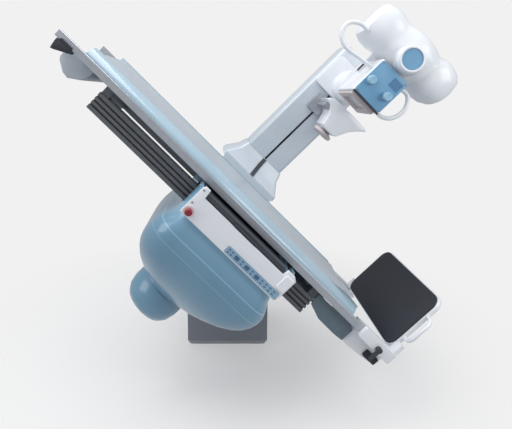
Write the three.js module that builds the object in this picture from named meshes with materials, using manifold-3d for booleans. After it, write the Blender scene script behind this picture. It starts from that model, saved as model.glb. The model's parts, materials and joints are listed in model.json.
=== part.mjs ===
// Radiography table: pedestal, tilting frame, imaging carriage with column and tube head,
// shifting tabletop and footrest. Millimetres, +Z up, rest pose tilted as in the photo.
import * as THREE from "three";
import { mergeVertices } from "three/addons/utils/BufferGeometryUtils.js";
import Module from "manifold-3d";

const wasm = await Module();
wasm.setup();
const { Manifold, Mesh: SolidMesh } = wasm;

// Driving dimensions
const TILT_DEG = 45; // rest tilt, head end up
const PIVOT_Z = 855; // height of the tilt axis
const BEAM_Y = -630; // table centre line, in front of the pedestal centre
const GAP = 0.4; // gap between neighbours that touch

const PED_W = 522, PED_D = 480, PED_WALL = 6;
const PED_TOP = PIVOT_Z + 130, PED_SHOULDER = PIVOT_Z + 25; // the cover closes over the tilt bearings
const PED_FRONT = 390; // distance of the pedestal front behind the table centre line
const SHAFT_R = 60, SHAFT_BACK = 800, WHEEL_R = 108;

const BEAM_A0 = -965, BEAM_A1 = 415, BEAM_B0 = 58, BEAM_B1 = 150;
const BEAM_OUT = 330, BEAM_IN = 270; // beam faces from the centre line
const TOP_B0 = 195, TOP_B1 = 270; // tabletop underside and crest
const RAIL_A0 = -1265, RAIL_A1 = 876, RAIL_B1 = 230, RAIL_OUT = 355, RAIL_IN = 337;
const FAIR_A0 = -1122, FAIR_A1 = 600, PANEL_Y = 262;

const AXIS_A = -68; // X-ray beam axis along the table
const POD_HALF_A = 293, POD_FRONT = -470, POD_BACK = 230, POD_RIM = 190;
const POD_KNEE = 40, POD_BOTTOM = -420, POD_WALL = 7, POD_BULGE = 52, BOSS_R = 152, BOSS_BOTTOM = -596;
const BOSS_Y = -20;
const PANEL_B0 = 53, PANEL_B1 = 165, EAR_B = 206;

const COL_A = -100, COL_W = 282, COL_FRONT = 450, COL_DEPTH = 250, COL_TOP = 1285, MAST_B = 660;
const COL_BASE_B = 276, COL_BASE_TOP = 430, COL_BASE_W = 434;
const ARM_B = 1100, ARM_R = 100;
const COLL_A = -56, COLL_W = 178, COLL_B0 = 994, COLL_B1 = 1197, COLL_FRONT = -150;
const HEAD_B = COLL_B1 + 129, HEAD_BACK = 150, BADGE_R = 56;
const FOOT_A = RAIL_A1 - 31, FOOT_B0 = 236, FOOT_B1 = 580, FOOT_HALF = 340;

// Geometry helpers
const bare = (g) => {
  const c = g.clone();
  for (const k of Object.keys(c.attributes)) if (k !== "position") c.deleteAttribute(k);
  return mergeVertices(c, 1e-3);
};
const solid = (g) => {
  const m = bare(g);
  return new Manifold(new SolidMesh({
    numProp: 3,
    vertProperties: new Float32Array(m.attributes.position.array),
    triVerts: new Uint32Array(m.index.array),
  }));
};
const back = (s) => {
  const m = s.getMesh();
  const g = new THREE.BufferGeometry();
  g.setAttribute("position", new THREE.BufferAttribute(new Float32Array(m.vertProperties), 3));
  g.setIndex(new THREE.BufferAttribute(new Uint32Array(m.triVerts), 1));
  return g;
};
const cut = (g, ...tools) => back(tools.reduce((s, t) => s.subtract(solid(t)), solid(g)));
const join = (g, ...more) => back(more.reduce((s, t) => s.add(solid(t)), solid(g)));

const outline = (pts) => new THREE.Shape(pts.map(([u, v]) => new THREE.Vector2(u, v)));
const rounded = (u0, u1, v0, v1, r, n = 5) => {
  const pts = [];
  const corners = [[u1 - r, v1 - r, 0], [u0 + r, v1 - r, 1], [u0 + r, v0 + r, 2], [u1 - r, v0 + r, 3]];
  for (const [cu, cv, q] of corners)
    for (let i = 0; i <= n; i++) {
      const t = (q + i / n) * Math.PI / 2;
      pts.push([cu + r * Math.cos(t), cv + r * Math.sin(t)]);
    }
  return pts;
};
// Extrude a flat outline along x (outline y,z), y (outline x,z) or z (outline x,y).
const slab = (axis, pts, from, to, bevel = 0) => {
  const opt = { depth: to - from - 2 * bevel, bevelEnabled: bevel > 0, bevelThickness: bevel,
    bevelSize: bevel, bevelOffset: -bevel, bevelSegments: 2, curveSegments: 8 };
  const g = new THREE.ExtrudeGeometry(outline(pts), opt);
  g.translate(0, 0, from + bevel);
  if (axis === "x") g.applyMatrix4(new THREE.Matrix4().set(0, 0, 1, 0, 1, 0, 0, 0, 0, 1, 0, 0, 0, 0, 0, 1));
  if (axis === "y") {
    g.applyMatrix4(new THREE.Matrix4().set(1, 0, 0, 0, 0, 0, 1, 0, 0, 1, 0, 0, 0, 0, 0, 1));
    const ix = g.index ? g.index.array : null; // this swap mirrors, so turn the faces
    if (ix) for (let i = 0; i < ix.length; i += 3) [ix[i], ix[i + 1]] = [ix[i + 1], ix[i]];
    else {
      const p = g.attributes.position.array;
      for (let i = 0; i < p.length; i += 9)
        for (let k = 0; k < 3; k++) [p[i + k], p[i + 3 + k]] = [p[i + 3 + k], p[i + k]];
    }
  }
  return g;
};
const box = (x0, x1, y0, y1, z0, z1) =>
  new THREE.BoxGeometry(x1 - x0, y1 - y0, z1 - z0).translate((x0 + x1) / 2, (y0 + y1) / 2, (z0 + z1) / 2);
const rod = (axis, u, v, r, from, to, n = 40, r2 = r) => {
  const g = new THREE.CylinderGeometry(r2, r, to - from, n, 1).translate(0, (from + to) / 2, 0);
  if (axis === "x") return g.rotateZ(-Math.PI / 2).translate(0, u, v);
  if (axis === "y") return g.translate(u, 0, v);
  return g.rotateX(Math.PI / 2).translate(u, v, 0);
};
const lathe = (axis, u, v, prof, n = 40) => {
  const g = new THREE.LatheGeometry(prof.map(([r, h]) => new THREE.Vector2(r, h)), n);
  if (axis === "x") return g.rotateZ(-Math.PI / 2).translate(0, u, v);
  if (axis === "y") return g.translate(u, 0, v);
  return g.rotateX(Math.PI / 2).translate(u, v, 0);
};
// Skin over rings with the same number of points, closed with a fan at both ends.
const loft = (rings) => {
  const n = rings[0].length, pos = [], idx = [];
  for (const ring of rings) for (const p of ring) pos.push(...p);
  const mid = (ring) => ring.reduce((s, p) => s.map((c, i) => c + p[i] / n), [0, 0, 0]);
  pos.push(...mid(rings[0]), ...mid(rings[rings.length - 1]));
  const c0 = rings.length * n, c1 = c0 + 1, last = (rings.length - 1) * n;
  for (let k = 0; k < rings.length - 1; k++)
    for (let i = 0; i < n; i++) {
      const a = k * n + i, b = k * n + (i + 1) % n;
      idx.push(a, b, b + n, a, b + n, a + n);
    }
  for (let i = 0; i < n; i++) {
    idx.push(c0, (i + 1) % n, i);
    idx.push(c1, last + i, last + (i + 1) % n);
  }
  const g = new THREE.BufferGeometry();
  g.setAttribute("position", new THREE.Float32BufferAttribute(pos, 3));
  g.setIndex(idx);
  return solid(g).volume() < 0 ? turned(g) : g;
};
const turned = (g) => {
  const ix = g.index.array;
  for (let i = 0; i < ix.length; i += 3) [ix[i], ix[i + 1]] = [ix[i + 1], ix[i]];
  return g;
};
// A round bar bent along points.
const bar = (pts, r, steps = 28, sides = 12) => {
  const path = new THREE.CatmullRomCurve3(pts.map((p) => new THREE.Vector3(...p)), false, "centripetal");
  const ring = [];
  for (let i = 0; i < sides; i++) {
    const t = i / sides * 2 * Math.PI;
    ring.push([r * Math.cos(t), r * Math.sin(t)]);
  }
  return new THREE.ExtrudeGeometry(outline(ring), { extrudePath: path, steps });
};
const mirrorY = (pts) => pts.map(([y, z]) => [-y, z]).reverse();

const root = new THREE.Group();
const tilt = new THREE.Group();
tilt.position.set(0, BEAM_Y, PIVOT_Z);
tilt.rotation.y = THREE.MathUtils.degToRad(TILT_DEG);
const add = (group, name, g, color, roughness = 0.5) => {
  const m = new THREE.Mesh(bare(g), new THREE.MeshStandardMaterial({ color, roughness }));
  m.name = name;
  group.add(m);
};

const WHITE = 0xe9e8ea, BLUE = 0x6b8ea4, PALE = 0xa9bfcc, DARK = 0x5f6168, BLACK = 0x24262b;
const STEEL = 0x9a9da3, GREY = 0xb4b9be, TEAL = 0x56656f, RED = 0xb5303a;

// Pedestal, in world axes (y measured from the pedestal centre)
const py0 = PED_FRONT + BEAM_Y, py1 = py0 + PED_D;
const half = PED_W / 2;
add(root, "floor_plate", slab("z", rounded(-half + 4, half - 4, py0 + 4, py1 - 4, 36), 0, 22), STEEL);
const pedSide = (inset) => {
  const w = half - inset, top = PED_TOP - inset, sh = PED_SHOULDER - inset;
  const pts = [[-w, 22 + GAP], [w, 22 + GAP], [w, sh]];
  for (let i = 1; i < 8; i++) {
    const t = i / 8 * Math.PI / 2;
    pts.push([w - 111 + 111 * Math.cos(t), sh + (top - sh) * Math.sin(t)]);
  }
  pts.push([w - 111, top], [-w + 111, top]);
  for (let i = 1; i < 8; i++) {
    const t = Math.PI / 2 * (1 + i / 8);
    pts.push([-w + 111 + 111 * Math.cos(t), sh + (top - sh) * Math.sin(t)]);
  }
  pts.push([-w, sh]);
  return pts;
};
add(root, "pedestal_cover", cut(
  slab("y", pedSide(0), py0, py1, 5),
  slab("y", pedSide(PED_WALL), py0 + PED_WALL, py1 - PED_WALL),
  box(-half + PED_WALL, half - PED_WALL, py0 + PED_WALL, py1 - PED_WALL, 0, 60),
  rod("y", 0, PIVOT_Z, SHAFT_R + 32, py0 - 10, py0 + 20),
), DARK);
const fy0 = py0 + 70, fy1 = py1 - 70, SEAT_Z = PIVOT_Z - WHEEL_R - 9, frameHalf = half - 101;
add(root, "pedestal_frame", cut(
  box(-frameHalf, frameHalf, fy0, fy1, 22 + GAP, SEAT_Z),
  box(-frameHalf + 20, frameHalf - 20, fy0 + 20, fy1 - 20, 60, SEAT_Z - 22),
  box(-frameHalf + 60, frameHalf - 60, fy0 - 5, fy0 + 30, 120, SEAT_Z - 178),
  box(-frameHalf - 10, frameHalf + 10, fy0 + 90, fy1 - 90, 180, SEAT_Z - 218),
), STEEL);
const bearing = (y0, y1) => cut(
  slab("y", [[-SHAFT_R - 80, SEAT_Z + GAP], [SHAFT_R + 80, SEAT_Z + GAP], [SHAFT_R + 80, SEAT_Z + 42],
    [SHAFT_R + 36, PIVOT_Z + 15], [SHAFT_R, PIVOT_Z + SHAFT_R + 20], [-SHAFT_R, PIVOT_Z + SHAFT_R + 20],
    [-SHAFT_R - 36, PIVOT_Z + 15], [-SHAFT_R - 80, SEAT_Z + 42]], y0, y1, 3),
  rod("y", 0, PIVOT_Z, SHAFT_R + GAP, y0 - 5, y1 + 5, 48),
);
add(root, "front_bearing", bearing(fy0 + 6, fy0 + 86), DARK);
add(root, "rear_bearing", bearing(fy1 - 86, fy1 - 6), DARK);
add(root, "tilt_motor", join(
  box(frameHalf + GAP, half - PED_WALL - 15, -50, 50, SEAT_Z - 90, SEAT_Z + 80),
  box(WHEEL_R + 12, frameHalf + 10, -36, 36, SEAT_Z + GAP, SEAT_Z + 70),
  rod("z", half - 56, 0, 42, SEAT_Z - 330, SEAT_Z - 85),
), STEEL);

// Tilting frame, in table axes: x along the table to the foot, y away from the viewer, z up from it
add(tilt, "trunnion_shaft", join(
  rod("y", 0, 0, SHAFT_R, 384 + GAP, SHAFT_BACK, 48),
  rod("y", 0, 0, SHAFT_R + 22, 384 + GAP, 408, 48),
), STEEL);
const wheelTeeth = [];
for (let i = 0; i < 144; i++) {
  const t = i / 144 * 2 * Math.PI, r = i % 4 < 2 ? WHEEL_R : WHEEL_R - 6;
  wheelTeeth.push([r * Math.cos(t), r * Math.sin(t)]);
}
add(tilt, "worm_wheel", cut(
  slab("y", wheelTeeth, 605, 655),
  rod("y", 0, 0, SHAFT_R + GAP, 600, 660, 48),
), 0x8d7b4c);
add(tilt, "tilt_plate", join(
  slab("y", [[-250, BEAM_B0], [-110, -110], [-60, -138], [60, -138], [110, -110], [250, BEAM_B0],
    [250, BEAM_B1 - 2], [-250, BEAM_B1 - 2]], BEAM_OUT + GAP, 362, 3),
  rod("y", 0, 0, 128, 360, 384, 48),
), STEEL);
const groove = 13;
const beamSec = [[-BEAM_IN, BEAM_B0], [-BEAM_IN, BEAM_B1], [-BEAM_OUT, BEAM_B1]];
for (const b of [128, 105, 82])
  beamSec.push([-BEAM_OUT, b + 5], [-BEAM_OUT + groove, b + 3], [-BEAM_OUT + groove, b - 3], [-BEAM_OUT, b - 5]);
beamSec.push([-BEAM_OUT, BEAM_B0]);
add(tilt, "front_beam", slab("x", beamSec, BEAM_A0, BEAM_A1), DARK);
add(tilt, "rear_beam", slab("x", mirrorY(beamSec), BEAM_A0, BEAM_A1), DARK);
const cross = (a0, a1) => join(
  box(a0, a1, -BEAM_IN + GAP, BEAM_IN - GAP, BEAM_B0 + 6, BEAM_B1 - 2),
  slab("x", [[-322, BEAM_B1 + GAP], [322, BEAM_B1 + GAP], [322, TOP_B0 - GAP], [282, TOP_B0 - GAP],
    [262, BEAM_B1 + 16], [-262, BEAM_B1 + 16], [-282, TOP_B0 - GAP], [-322, TOP_B0 - GAP]], a0, a1),
  box(a0, a1, -BEAM_IN + 10, BEAM_IN - 10, BEAM_B1 - 10, BEAM_B1 + 10),
);
add(tilt, "head_cross_member", cross(BEAM_A0 + 4, BEAM_A0 + 44), DARK);
add(tilt, "foot_cross_member", cross(BEAM_A1 - 44, BEAM_A1 - 4), DARK);
const rackPts = [[BEAM_A0 + 60, 84]];
rackPts.push([BEAM_A1 - 60, 84], [BEAM_A1 - 60, 100]);
const TEETH = 60, step = (BEAM_A1 - BEAM_A0 - 130) / TEETH;
for (let i = 0; i < TEETH; i++) {
  const a = BEAM_A1 - 65 - i * step;
  rackPts.push([a, 100], [a - step * 0.2, 110], [a - step * 0.5, 110], [a - step * 0.7, 100]);
}
rackPts.push([BEAM_A0 + 60, 100]);
add(tilt, "travel_rack", slab("y", rackPts, -BEAM_IN + GAP, -BEAM_IN + 15), STEEL);
const sA = BEAM_A1, sB = BEAM_B1;
const sidePlate = [[sA + 2, sB - 2], [sA + 11, sB - 26], [sA + 87, sB - 52], [sA + 197, sB - 53], [sA + 247, sB - 48],
  [sA + 247, sB + 18], [sA + 225, sB + 36], [sA + 2, sB + 36]];
const sidePlateSolid = (s) => s < 0
  ? join(slab("y", sidePlate, -326, -318), box(sA - 3.5, sA + 55, -319, -250, sB + 2, sB + 30))
  : join(slab("y", sidePlate, 318, 326), box(sA - 3.5, sA + 55, 250, 319, sB + 2, sB + 30));
add(tilt, "foot_side_plate_front", sidePlateSolid(-1), TEAL);
add(tilt, "foot_side_plate_rear", sidePlateSolid(1), TEAL);

// Imaging carriage: pod under the table, column behind it
const plateB0 = BEAM_B1 + 6, plateB1 = BEAM_B1 + 26;
const podMidY = (POD_FRONT + POD_BACK) / 2, podHalfY = (POD_BACK - POD_FRONT) / 2;
const neckA0 = COL_A - COL_BASE_W / 2 + 14, neckA1 = COL_A + COL_BASE_W / 2 - 14;
const podA0 = AXIS_A - POD_HALF_A + POD_WALL + GAP, podA1 = AXIS_A + POD_HALF_A - POD_WALL - GAP;
const slotA0 = AXIS_A - 250, slotA1 = AXIS_A + 226;
const shoe = (a, y0, y1) => box(a, a + 50, y0, y1, BEAM_B1 + GAP, plateB0 + 2);
const trayLedge = plateB0 + 16 - GAP;
add(tilt, "carriage_frame", cut(join(
  box(podA0, podA1, -150, POD_BACK - 84, plateB0, plateB1),
  box(neckA0, neckA1, POD_BACK - 90, 372, plateB0, plateB1),
  box(neckA0, neckA1, 361, 373, plateB0, COL_BASE_B + 22),
  box(podA0, slotA0 + 30, -BEAM_OUT + 4, -148, plateB0, trayLedge),
  box(slotA1 - 30, podA1, -BEAM_OUT + 4, -148, plateB0, trayLedge),
  shoe(podA0 + 4, -BEAM_OUT + 6, -BEAM_IN - 4), shoe(podA1 - 54, -BEAM_OUT + 6, -BEAM_IN - 4),
  shoe(neckA0 + 4, BEAM_IN + 4, BEAM_OUT - 6), shoe(neckA1 - 54, BEAM_IN + 4, BEAM_OUT - 6),
), rod("z", AXIS_A, 0, 128, plateB0 - 5, plateB1 + 5, 48)), STEEL);
// Pod sections from the rim down: share of the drop, half width, sideways shift, front, back, corner radius.
const POD_SECTIONS = [[0, 0, 0, 0, 0, 76], [0.08, 11, 4, 6, 2, 84], [0.22, POD_BULGE - 7, 12, 10, 6, 104],
  [0.4, POD_BULGE, 16, -8, 6, 132], [0.57, 30, 14, -50, -2, 152], [0.74, -22, 8, -122, -24, 172],
  [0.87, -78, 3, -204, -50, 180], [0.95, -120, 0, -270, -74, 162], [1, -152, 0, -312, -106, 132]];
const podDrop = POD_KNEE - POD_BOTTOM;
const podCurve = (pick) => new THREE.CatmullRomCurve3(POD_SECTIONS.map((row) => new THREE.Vector3(...pick(row))),
  false, "catmullrom", 0.5);
const podWidths = podCurve(([t, w, shift]) => [POD_KNEE - t * podDrop, POD_HALF_A + w, AXIS_A + shift]);
const podDepths = podCurve(([, , , front, rear, r]) => [POD_FRONT - front, POD_BACK + rear, r]);
const podRing = (t, inset, level = null) => {
  const w = podWidths.getPoint(t), d = podDepths.getPoint(t), half = w.y - inset;
  const r = Math.max(8, Math.min(d.z - inset, half - 1, (d.y - d.x) / 2 - inset - 1));
  return rounded(w.z - half, w.z + half, d.x + inset, d.y - inset, r, 7).map(([x, y]) => [x, y, level ?? w.x]);
};
const podSteps = Array.from({ length: 17 }, (_, i) => i / 16);
const podOuter = loft([podRing(0, 0, POD_RIM), ...podSteps.map((t) => podRing(t, 0))]);
const podInner = loft([podRing(0, POD_WALL, POD_RIM + 20), ...podSteps.slice(0, -1).map((t) => podRing(t, POD_WALL)),
  podRing(1, POD_WALL + 4, POD_BOTTOM + POD_WALL)]);
add(tilt, "pod_shell", cut(podOuter, podInner,
  box(-600, 600, -BEAM_OUT - 10, -BEAM_IN + 30, BEAM_B0 - 10, 260),
  box(neckA0 - 6, neckA1 + 6, POD_BACK - 40, POD_BACK + 20, plateB0 - 5, 260),
  box(slotA0, slotA1, POD_FRONT - 10, POD_FRONT + 60, PANEL_B1, 260),
  rod("z", AXIS_A, BOSS_Y, BOSS_R - 40, POD_BOTTOM - 10, POD_BOTTOM + 60, 48),
), BLUE, 0.25);
add(tilt, "camera_cover", lathe("z", AXIS_A, BOSS_Y, [[0, BOSS_BOTTOM], [BOSS_R - 70, BOSS_BOTTOM + 5],
  [BOSS_R - 30, BOSS_BOTTOM + 24], [BOSS_R - 9, BOSS_BOTTOM + 56], [BOSS_R, BOSS_BOTTOM + 100],
  [BOSS_R, POD_BOTTOM - 30], [BOSS_R - 12, POD_BOTTOM - GAP], [BOSS_R - 40, POD_BOTTOM - GAP],
  [BOSS_R - 40, BOSS_BOTTOM + 50], [0, BOSS_BOTTOM + 50]]), BLUE, 0.25);
const tubeLow = BOSS_BOTTOM + 70;
add(tilt, "image_tube", lathe("z", AXIS_A, BOSS_Y, [[0, tubeLow], [70, tubeLow], [70, POD_BOTTOM + 20],
  [105, POD_BOTTOM + 110], [140, -140],
  [140, plateB0 - 12], [126, plateB0 - GAP], [0, plateB0 - GAP]]), STEEL);
const pf = POD_FRONT;
const panelPts = [[AXIS_A - 289, PANEL_B0], [AXIS_A + 281, PANEL_B0], [AXIS_A + 289, PANEL_B0 + 30],
  [AXIS_A + 289, EAR_B - 26], [AXIS_A + 270, EAR_B - 12], [AXIS_A + 232, EAR_B - 12], [slotA1, PANEL_B1],
  [slotA0, PANEL_B1], [slotA0 - 6, EAR_B], [AXIS_A - 280, EAR_B], [AXIS_A - 289, EAR_B - 14]];
const stripA0 = AXIS_A - 34, stripA1 = AXIS_A + 278, stripB0 = PANEL_B0 + 6, stripB1 = PANEL_B0 + 42;
const keyB = (stripB0 + stripB1) / 2;
const KEYS = [64, 124, 184].map((a) => [stripA0 + a, keyB]);
const ESTOP = [AXIS_A - 262, PANEL_B0 + 28];
add(tilt, "front_panel", cut(slab("y", panelPts, pf - 22, pf - GAP, 3),
  slab("y", rounded(stripA0, stripA1, stripB0, stripB1, 6), pf - 30, pf - 12),
  rod("y", ESTOP[0], ESTOP[1], 9, pf - 30, pf + 5),
), WHITE);
add(tilt, "key_strip", cut(
  slab("y", rounded(stripA0 + GAP, stripA1 - GAP, stripB0 + GAP, stripB1 - GAP, 6), pf - 24, pf - 12 - GAP),
  ...KEYS.map(([a, b]) => box(a - 11.5, a + 11.5, pf - 30, pf - 16, b - 8.5, b + 8.5)),
), 0x5d9cc0);
KEYS.forEach(([a, b], i) => add(tilt, "key_" + (i + 1), slab("y",
  rounded(a - 11, a + 11, b - 8, b + 8, 3), pf - 27, pf - 18.5), DARK));
add(tilt, "estop_collar", cut(rod("y", ESTOP[0], ESTOP[1], 24, pf - 30, pf - 22 - GAP),
  rod("y", ESTOP[0], ESTOP[1], 9, pf - 40, pf - 10)), 0xe3c9cc);
add(tilt, "estop_button", lathe("y", ESTOP[0], ESTOP[1], [[0, pf - 52], [12, pf - 51], [17, pf - 46], [17, pf - 38],
  [8.4, pf - 37], [8.4, pf - 8], [0, pf - 8]], 32), RED, 0.35);
add(tilt, "cassette_tray", join(
  box(slotA0 + 4, slotA1 - 4, pf + 8, -160, plateB0 + 16, plateB0 + 24),
  box(slotA0 + 4, slotA1 - 4, pf - 6, pf + 12, plateB0 + 13, plateB0 + 33),
  box(slotA0 + 170, slotA1 - 170, pf - 18, pf, plateB0 + 15, plateB0 + 25),
), DARK);

const colHalf = COL_W / 2, colY1 = COL_FRONT + COL_DEPTH;
const baseRing = (b, ha, y0, r) => rounded(COL_A - ha, COL_A + ha, y0, colY1 + 10, r, 5).map(([x, y]) => [x, y, b]);
add(tilt, "column_base", loft([baseRing(COL_BASE_B, COL_BASE_W / 2, 373 + GAP, 12),
  baseRing(COL_BASE_B + 26, COL_BASE_W / 2 - 2, 373 + GAP, 14), baseRing(COL_BASE_B + 60, colHalf + 50, 396, 16),
  baseRing(COL_BASE_B + 100, colHalf + 22, 428, 16), baseRing(COL_BASE_TOP, colHalf + 6, COL_FRONT - 6, 16)]), PALE);
const slot0 = COL_A - 2, slot1 = COL_A + 12, wall = 16;
add(tilt, "column_shell", cut(
  slab("z", rounded(COL_A - colHalf, COL_A + colHalf, COL_FRONT, colY1, 20), COL_BASE_TOP + GAP, COL_TOP, 4),
  slab("z", rounded(COL_A - colHalf + wall, COL_A + colHalf - wall, COL_FRONT + wall, colY1 - wall, 10),
    COL_BASE_TOP - 5, COL_TOP + 5),
  box(slot0, slot1, COL_FRONT - 10, COL_FRONT + 30, COL_BASE_TOP - 5, COL_TOP + 5),
), PALE, 0.3);
const mastA0 = COL_A - colHalf + wall + GAP, mastA1 = COL_A + colHalf - wall - GAP;
const mastY0 = COL_FRONT + wall + GAP, mastY1 = colY1 - wall - GAP;
add(tilt, "column_mast", cut(
  slab("z", rounded(mastA0, mastA1, mastY0, mastY1, 10), MAST_B, COL_TOP - 6, 3),
  slab("z", rounded(mastA0 + 14, mastA1 - 14, mastY0 + 14, mastY1 - 14, 6), MAST_B - 5, COL_TOP - 24),
), GREY, 0.3);

// Tube head on its arm
const armA = COLL_A;
add(tilt, "head_arm", join(
  slab("y", rounded(COL_A - 130, COL_A + 130, ARM_B - 110, ARM_B + 110, 24), COL_FRONT - 26, COL_FRONT - 4, 3),
  rod("y", armA, ARM_B, ARM_R, 176 + GAP, COL_FRONT - 24, 48),
  box(slot0 + GAP, slot1 - GAP, COL_FRONT - 8, mastY0 - GAP, ARM_B - 90, ARM_B + 90),
), WHITE);
add(tilt, "head_yoke", slab("y", rounded(armA - 96, armA + 96, COLL_B0 + 6, HEAD_B + 80, 60, 6),
  HEAD_BACK + GAP, 176, 4), WHITE);
const headRing = (a, ry, rz, cy, cz) => {
  const ring = [];
  for (let i = 0; i < 36; i++) {
    const t = i / 36 * 2 * Math.PI, c = Math.cos(t), s = Math.sin(t);
    const k = 1 / Math.pow(Math.abs(c) ** 2.6 + Math.abs(s) ** 2.6, 1 / 2.6);
    ring.push([a, Math.min(HEAD_BACK, cy + ry * k * c), Math.max(COLL_B1 + GAP, cz + rz * k * s)]);
  }
  return ring;
};
// Tube cover sections along the table from the collimator axis: offset, half depth, half height.
const HEAD_SECTIONS = [[-269, 50, 48], [-264, 80, 78], [-248, 104, 100], [-206, 122, 113], [-159, 124, 113],
  [-122, 116, 104], [-102, 120, 106], [-54, 146, 112], [0, 158, 113], [56, 150, 110], [100, 126, 104],
  [120, 120, 102], [146, 128, 112], [186, 130, 114], [236, 120, 106], [270, 96, 86], [286, 66, 58],
  [291, 40, 34]].map(([a, ry, rz]) => [COLL_A + a, ry, rz]);
const headSolid = (grow) => loft(HEAD_SECTIONS.map(([a, ry, rz], i) =>
  headRing(a + (i ? (i === HEAD_SECTIONS.length - 1 ? grow : 0) : -grow), ry + grow, rz + grow, -10, HEAD_B)));
add(tilt, "tube_cover", headSolid(0), WHITE, 0.35);
add(tilt, "badge_disc", cut(rod("y", COLL_A, COLL_B1 + 78, BADGE_R, -184, -100, 48), headSolid(GAP)), 0x7fb0c8);
const cx0 = COLL_A - COLL_W / 2, cx1 = COLL_A + COLL_W / 2;
add(tilt, "collimator_body", slab("z", rounded(cx0, cx1, COLL_FRONT + 10, HEAD_BACK, 18), COLL_B0, COLL_B1, 4), WHITE);
const collTall = COLL_B1 - COLL_B0;
const KNOBS = [[cx0 + 29, COLL_B0 + collTall * 0.43], [cx1 - 37, COLL_B0 + collTall * 0.42]];
const DISP = [cx1 - 74, cx1 - 16, COLL_B1 - collTall * 0.37, COLL_B1 - collTall * 0.13];
add(tilt, "collimator_panel", cut(
  slab("y", rounded(cx0 + 3, cx1 - 3, COLL_B0 + 4, COLL_B1 - 4, 14), COLL_FRONT, COLL_FRONT + 10 - GAP, 2),
  box(DISP[0], DISP[1], COLL_FRONT - 5, COLL_FRONT + 5, DISP[2], DISP[3]),
  ...KNOBS.map(([a, b]) => rod("y", a, b, 6, COLL_FRONT - 5, COLL_FRONT + 14)),
), 0x6fa6c8);
add(tilt, "collimator_display", slab("y", rounded(DISP[0] + GAP, DISP[1] - GAP, DISP[2] + GAP, DISP[3] - GAP, 3),
  COLL_FRONT + 1, COLL_FRONT + 5 - GAP), 0x30424f, 0.2);
KNOBS.forEach(([a, b], i) => add(tilt, "field_knob_" + (i + 1), cut(lathe("y", a, b, [[0, COLL_FRONT - 30],
  [18, COLL_FRONT - 30], [21, COLL_FRONT - 27], [22, COLL_FRONT - 3], [5.4, COLL_FRONT - 2.5],
  [5.4, COLL_FRONT + 8], [0, COLL_FRONT + 8]], 36),
  box(a - 1.5, a + 1.5, COLL_FRONT - 40, COLL_FRONT - 28, b + 4, b + 30)), WHITE));
add(tilt, "beam_window", cut(slab("z", rounded(cx0 + 12, cx1 - 12, COLL_FRONT + 40, HEAD_BACK - 30, 8),
  COLL_B0 - 16, COLL_B0 - GAP, 2), box(cx0 + 40, cx1 - 40, COLL_FRONT + 70, HEAD_BACK - 60, COLL_B0 - 20, COLL_B0 + 5)), 0xb9a9a6);
const collRoom = box(cx0 - GAP, cx1 + GAP, COLL_FRONT - GAP, HEAD_BACK, COLL_B0 - 20, COLL_B1 + GAP);
const hb = COLL_B1; // handles hang from the joint of collimator and tube cover
add(tilt, "handle_left", cut(bar([[cx0 - 117, -80, hb + 65], [cx0 - 155, -98, hb + 49], [cx0 - 200, -108, hb + 39],
  [cx0 - 241, -112, hb - 2], [cx0 - 229, -112, hb - 57], [cx0 - 171, -110, hb - 85], [cx0 - 85, -100, hb - 71],
  [cx0 + 14, -90, hb - 53]], 11), headSolid(1), collRoom), WHITE);
add(tilt, "handle_right", cut(bar([[cx1 - 14, -90, hb - 29], [cx1 + 45, -104, hb - 29], [cx1 + 85, -110, hb - 87],
  [cx1 + 73, -110, hb - 157], [cx1 + 29, -106, hb - 191], [cx1 - 14, -92, hb - 185]], 11), collRoom), WHITE);

// Compressor below the arm: a carriage in the column slot, an anvil-shaped arm and its pad
const cB = ARM_B - ARM_R - 34, cA = COL_A + 104; // top of the arm and its middle
add(tilt, "compressor_carriage", join(
  slab("y", rounded(COL_A - 60, COL_A + 72, cB - 120, cB - 4, 14), COL_FRONT - 34, COL_FRONT - 4, 3),
  box(slot0 + GAP, slot1 - GAP, COL_FRONT - 8, COL_FRONT + 14, cB - 106, cB - 18),
  box(COL_A - 20, COL_A + 60, COL_FRONT - 230, COL_FRONT - 30, cB - 70, cB - 34),
), GREY);
const anvil = [[-144, -40], [-124, -16], [-90, -6], [36, 0], [136, -2], [154, -10], [116, -46], [82, -86], [52, -151],
  [36, -162], [-34, -162], [-52, -150], [-70, -86], [-104, -50]].map(([a, b]) => [cA + a, cB + b]);
add(tilt, "compressor_arm", cut(slab("y", anvil, COL_FRONT - 254, COL_FRONT - 58, 10),
  box(COL_A - 20 - GAP, COL_A + 60 + GAP, COL_FRONT - 238, COL_FRONT - 50, cB - 70 - GAP, cB - 34 + GAP)), WHITE, 0.35);
const padTop = cB - 162 - GAP;
add(tilt, "compressor_pad", lathe("z", cA, COL_FRONT - 160, [[0, padTop - 33], [52, padTop - 33], [60, padTop - 27],
  [60, padTop - 13], [30, padTop], [0, padTop]], 36), GREY);

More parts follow.
